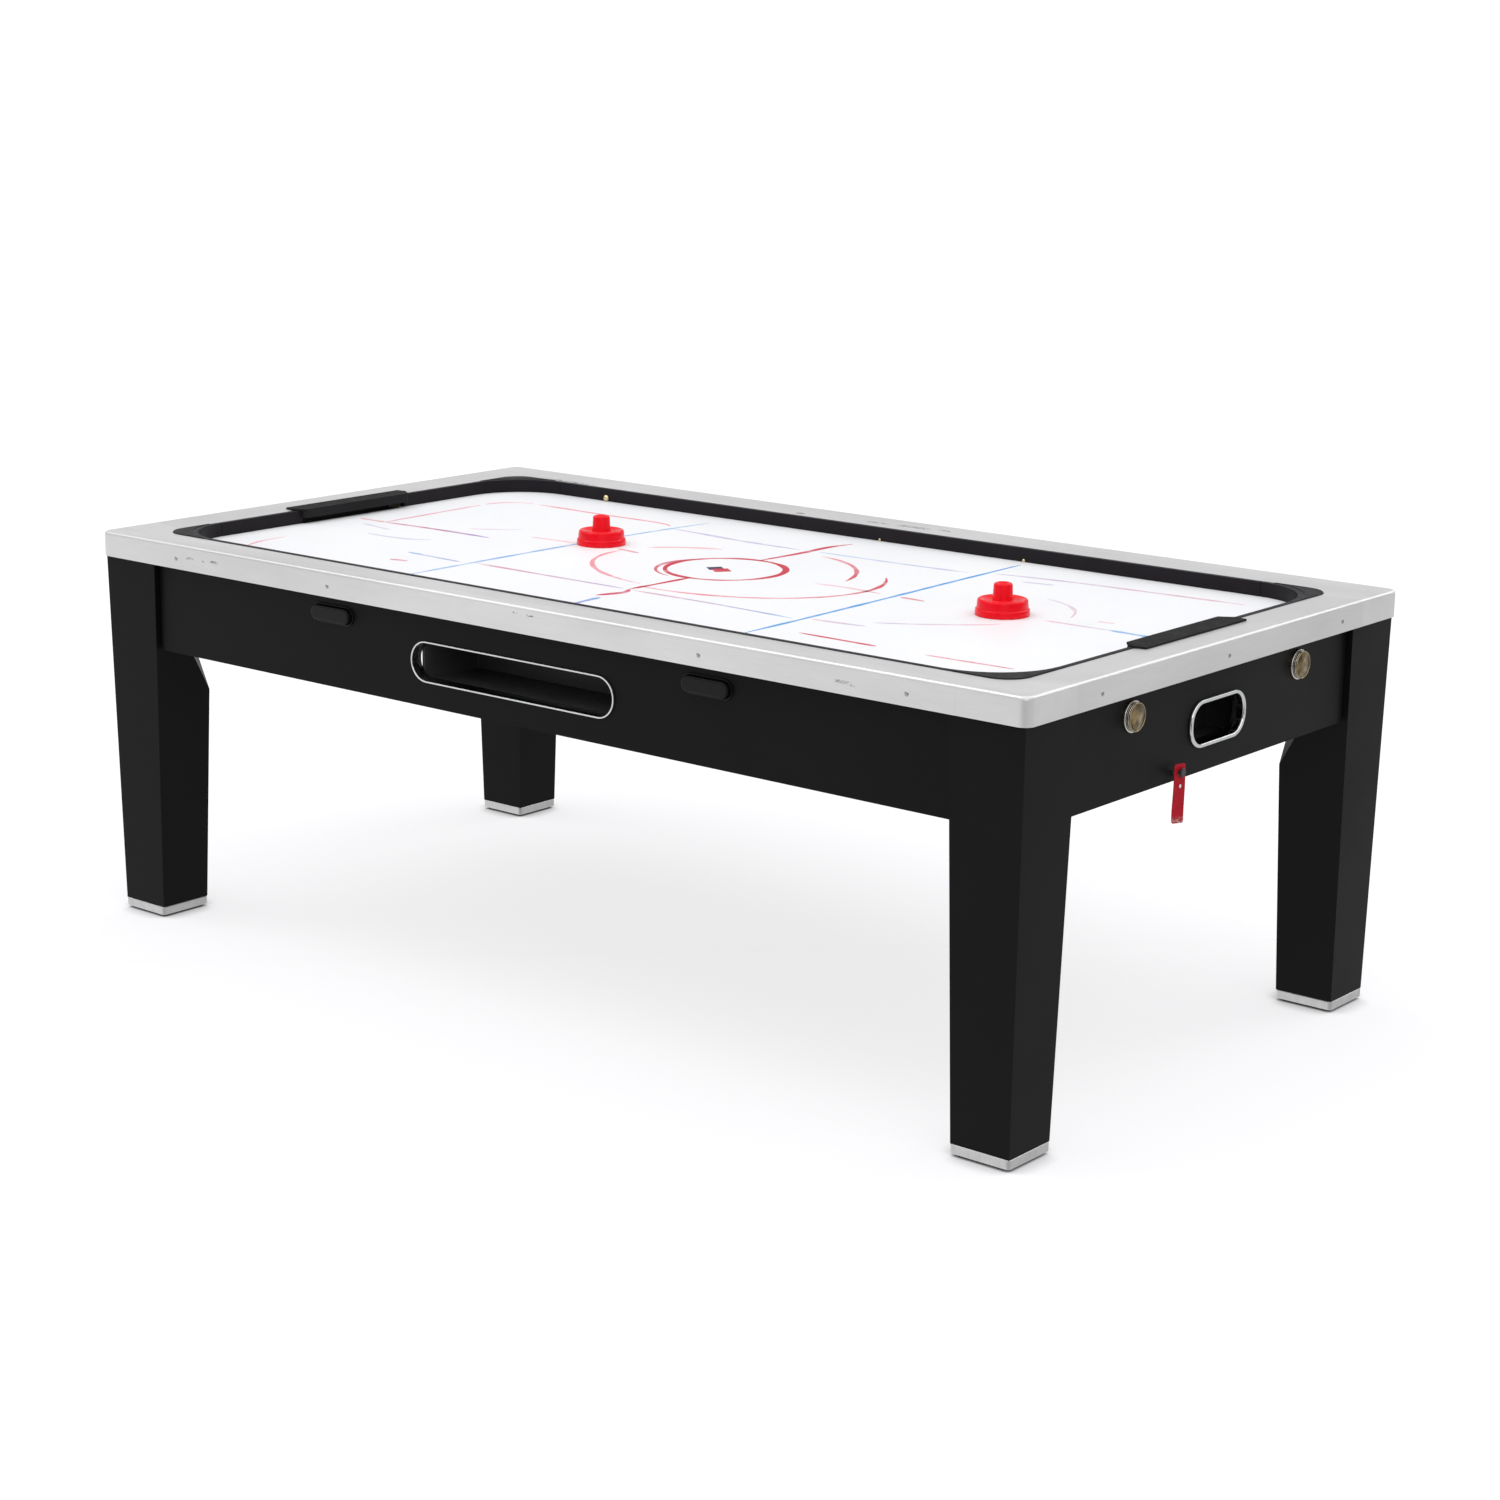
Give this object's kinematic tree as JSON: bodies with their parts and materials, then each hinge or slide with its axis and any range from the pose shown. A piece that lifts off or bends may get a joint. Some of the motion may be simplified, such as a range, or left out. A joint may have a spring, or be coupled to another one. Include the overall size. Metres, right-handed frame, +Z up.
{
  "type": "air hockey table",
  "caption": "Air hockey table on four tapered legs with a metal rail, rounded bumpers, slotted goals, puck ports, storage slot, lock knobs, release pin and mallets.",
  "frame": {"origin": "on the floor under the table's centre", "axes": "+X along the length to the end with the release pin, +Y across to the back, +Z up"},
  "size_m": [2.29, 1.234, 0.8351],
  "materials": {
    "rail_metal": "satin silver",
    "raw_wood": "bare board",
    "black_panel": "satin black laminate on board",
    "foot_metal": "brushed",
    "glide_rubber": "matte",
    "zinc_steel": "zinc plated",
    "white_field": "smooth white laminate with printed lines",
    "bumper_plastic": "satin black",
    "hood_plastic": "fine grain black",
    "box_plastic": "matte black",
    "chrome_trim": "polished",
    "latch_plastic": "satin black",
    "knob_nickel": "turned",
    "knob_brass": "polished",
    "pin_black": "black",
    "red_webbing": "coated webbing",
    "white_rivet": "white",
    "motor_metal": "grey paint",
    "fan_plastic": "black",
    "grille_metal": "black",
    "switch_plastic": "black",
    "rocker_plastic": "red",
    "mallet_red": "glossy red"
  },
  "bodies": {
    "table": {"rail_front": "rail_metal", "rail_back": "rail_metal", "rail_left": "rail_metal", "rail_right": "rail_metal", "rail_corners": "rail_metal", "rail_cores": "raw_wood", "apron_front": "black_panel", "apron_back": "black_panel", "apron_left": "black_panel", "apron_right": "black_panel", "leg_front_left": "black_panel", "leg_front_right": "black_panel", "leg_back_right": "black_panel", "leg_back_left": "black_panel", "foot_caps": "foot_metal", "foot_glides": "glide_rubber", "corner_blocks": "raw_wood", "leg_bolts": "zinc_steel", "cross_braces": "raw_wood", "playfield": "white_field", "plenum_frame": "raw_wood", "plenum_floor": "raw_wood", "bumper_front": "bumper_plastic", "bumper_back": "bumper_plastic", "bumper_left": "bumper_plastic", "bumper_right": "bumper_plastic", "bumper_corners": "bumper_plastic", "goal_hood_left": "hood_plastic", "goal_hood_right": "hood_plastic", "puck_box_left": "box_plastic", "puck_box_right": "box_plastic", "port_trim_left": "chrome_trim", "port_trim_right": "chrome_trim", "slot_trim": "chrome_trim", "storage_tray": "box_plastic", "latch_bezels": "latch_plastic", "knob_bases": "knob_nickel", "pin_bush": "chrome_trim", "blower_housing": "box_plastic", "blower_motor": "motor_metal", "blower_grille": "grille_metal", "switch_box": "switch_plastic", "power_inlet": "switch_plastic", "trim_screws": "zinc_steel", "bumper_studs": "knob_brass"},
    "latch_front_left": {"latch_front_left": "latch_plastic"},
    "latch_front_right": {"latch_front_right": "latch_plastic"},
    "latch_back_left": {"latch_back_left": "latch_plastic"},
    "latch_back_right": {"latch_back_right": "latch_plastic"},
    "knob_right_front": {"knob_right_front": "knob_brass"},
    "knob_right_back": {"knob_right_back": "knob_brass"},
    "knob_left_front": {"knob_left_front": "knob_brass"},
    "knob_left_back": {"knob_left_back": "knob_brass"},
    "release_pin": {"release_pin": "pin_black"},
    "strap": {"pin_strap": "red_webbing", "strap_rivet": "white_rivet"},
    "impeller": {"blower_impeller": "fan_plastic"},
    "rocker": {"switch_rocker": "rocker_plastic"},
    "mallet_left": {"mallet_left": "mallet_red"},
    "mallet_right": {"mallet_right": "mallet_red"}
  },
  "joints": [
    {"name": "latch_front_left_push", "type": "slide", "parent": "table", "child": "latch_front_left", "axis": [0, 1, 0], "range_m": [0, 0.004], "stiffness_N_per_m": 500},
    {"name": "latch_front_right_push", "type": "slide", "parent": "table", "child": "latch_front_right", "axis": [0, 1, 0], "range_m": [0, 0.004], "stiffness_N_per_m": 500},
    {"name": "latch_back_left_push", "type": "slide", "parent": "table", "child": "latch_back_left", "axis": [0, -1, 0], "range_m": [0, 0.004], "stiffness_N_per_m": 500},
    {"name": "latch_back_right_push", "type": "slide", "parent": "table", "child": "latch_back_right", "axis": [0, -1, 0], "range_m": [0, 0.004], "stiffness_N_per_m": 500},
    {"name": "knob_right_front_turn", "type": "hinge", "parent": "table", "child": "knob_right_front", "pos_m": [1.123, -0.277, 0.714], "axis": [1, 0, 0], "range_deg": [0, 90]},
    {"name": "knob_right_back_turn", "type": "hinge", "parent": "table", "child": "knob_right_back", "pos_m": [1.123, 0.277, 0.714], "axis": [1, 0, 0], "range_deg": [0, 90]},
    {"name": "knob_left_front_turn", "type": "hinge", "parent": "table", "child": "knob_left_front", "pos_m": [-1.123, -0.277, 0.714], "axis": [-1, 0, 0], "range_deg": [0, 90]},
    {"name": "knob_left_back_turn", "type": "hinge", "parent": "table", "child": "knob_left_back", "pos_m": [-1.123, 0.277, 0.714], "axis": [-1, 0, 0], "range_deg": [0, 90]},
    {"name": "release_pin_pull", "type": "slide", "parent": "table", "child": "release_pin", "axis": [1, 0, 0], "range_m": [0, 0.02], "stiffness_N_per_m": 300},
    {"name": "strap_swing", "type": "hinge", "parent": "release_pin", "child": "strap", "pos_m": [1.1365, -0.135, 0.593], "axis": [1, 0, 0], "range_deg": [-80, 80]},
    {"name": "impeller_spin", "type": "hinge", "parent": "table", "child": "impeller", "pos_m": [0, 0.12, 0.66], "axis": [0, 0, 1], "continuous": true},
    {"name": "rocker_tip", "type": "hinge", "parent": "table", "child": "rocker", "pos_m": [-1.119, -0.23, 0.63], "axis": [0, -1, 0], "range_deg": [0, 16]},
    {"name": "mallet_left_slide", "type": "slide", "parent": "table", "child": "mallet_left", "axis": [1, 0, 0], "range_m": [-0.57, 0.33]},
    {"name": "mallet_right_slide", "type": "slide", "parent": "table", "child": "mallet_right", "axis": [1, 0, 0], "range_m": [-0.56, 0.325]}
  ]
}
